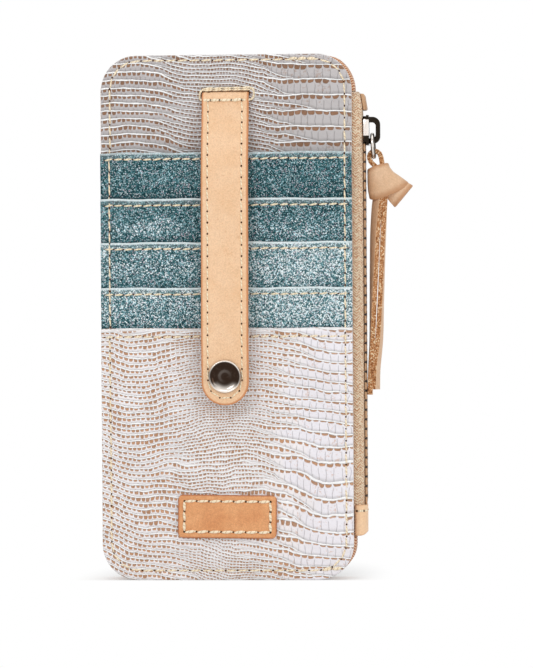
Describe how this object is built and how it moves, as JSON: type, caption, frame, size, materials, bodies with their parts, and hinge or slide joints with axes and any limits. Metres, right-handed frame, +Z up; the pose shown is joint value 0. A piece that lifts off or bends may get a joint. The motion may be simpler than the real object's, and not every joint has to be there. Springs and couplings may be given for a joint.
{
  "type": "card organizer",
  "caption": "Tall slim card organizer with stacked card slots, a snapped hold-down strap, and a side zip pocket with a knotted leather pull.",
  "frame": {"origin": "centre of the flat bottom edge that it stands on, on the gusset's underside", "axes": "+Z up the tall side, +X towards the zip, -Y out of the front with the card slots"},
  "size_m": [0.1173, 0.0302, 0.198],
  "materials": {
    "lizard_leather": "pearl white with lizard embossing, semi-gloss",
    "natural_leather": "natural vegetable-tanned, matte",
    "gusset_leather": "tan, matte",
    "pull_leather": "soft matte, with raw cut edges",
    "glitter": "teal glitter coating, sparkling",
    "board": "plain stiffener board",
    "lining_cloth": "plain woven, matte",
    "zip_tape": "herringbone woven, matte",
    "zip_plastic": "moulded, satin",
    "gunmetal": "polished gunmetal plate"
  },
  "bodies": {
    "organizer": {"front_panel": "lizard_leather", "front_stiffener": "board", "front_lining": "lining_cloth", "card_pocket_1": "glitter", "card_pocket_2": "glitter", "card_pocket_3": "glitter", "card_pocket_4": "glitter", "lower_pocket": "lizard_leather", "label_patch": "natural_leather", "strap_root": "natural_leather", "snap_stud": "gunmetal", "snap_post": "gunmetal", "gusset": "gusset_leather", "back_panel": "lizard_leather", "back_stiffener": "board", "back_lining": "lining_cloth", "zip_tape_front": "zip_tape", "zip_tape_back": "zip_tape", "zip_teeth_front": "zip_plastic", "zip_teeth_back": "zip_plastic", "top_stop_front": "zip_plastic", "top_stop_back": "zip_plastic", "bottom_stop": "zip_plastic", "zip_end_tab": "natural_leather"},
    "strap": {"strap_front_ply": "natural_leather", "strap_back_ply": "natural_leather", "snap_cap": "gunmetal", "snap_socket": "gunmetal"},
    "slider": {"slider_body": "gunmetal"},
    "ring": {"pull_ring": "gunmetal"},
    "pull": {"leather_pull": "pull_leather"}
  },
  "joints": [
    {"name": "strap_hinge", "type": "hinge", "parent": "organizer", "child": "strap", "pos_m": [0, -0.0128, 0.1804], "axis": [-1, 0, 0], "range_deg": [0, 150]},
    {"name": "zip_slide", "type": "slide", "parent": "organizer", "child": "slider", "axis": [0, 0, -1], "range_m": [0, 0.134], "deforming": ["zip_teeth_front", "zip_teeth_back"]},
    {"name": "ring_swing", "type": "hinge", "parent": "slider", "child": "ring", "pos_m": [0.0548, 0, 0.1677], "axis": [0, -1, 0], "range_deg": [0, 90]},
    {"name": "pull_swing", "type": "hinge", "parent": "ring", "child": "pull", "pos_m": [0.05539, 0, 0.15922], "axis": [0, -1, 0], "range_deg": [0, 60]}
  ]
}
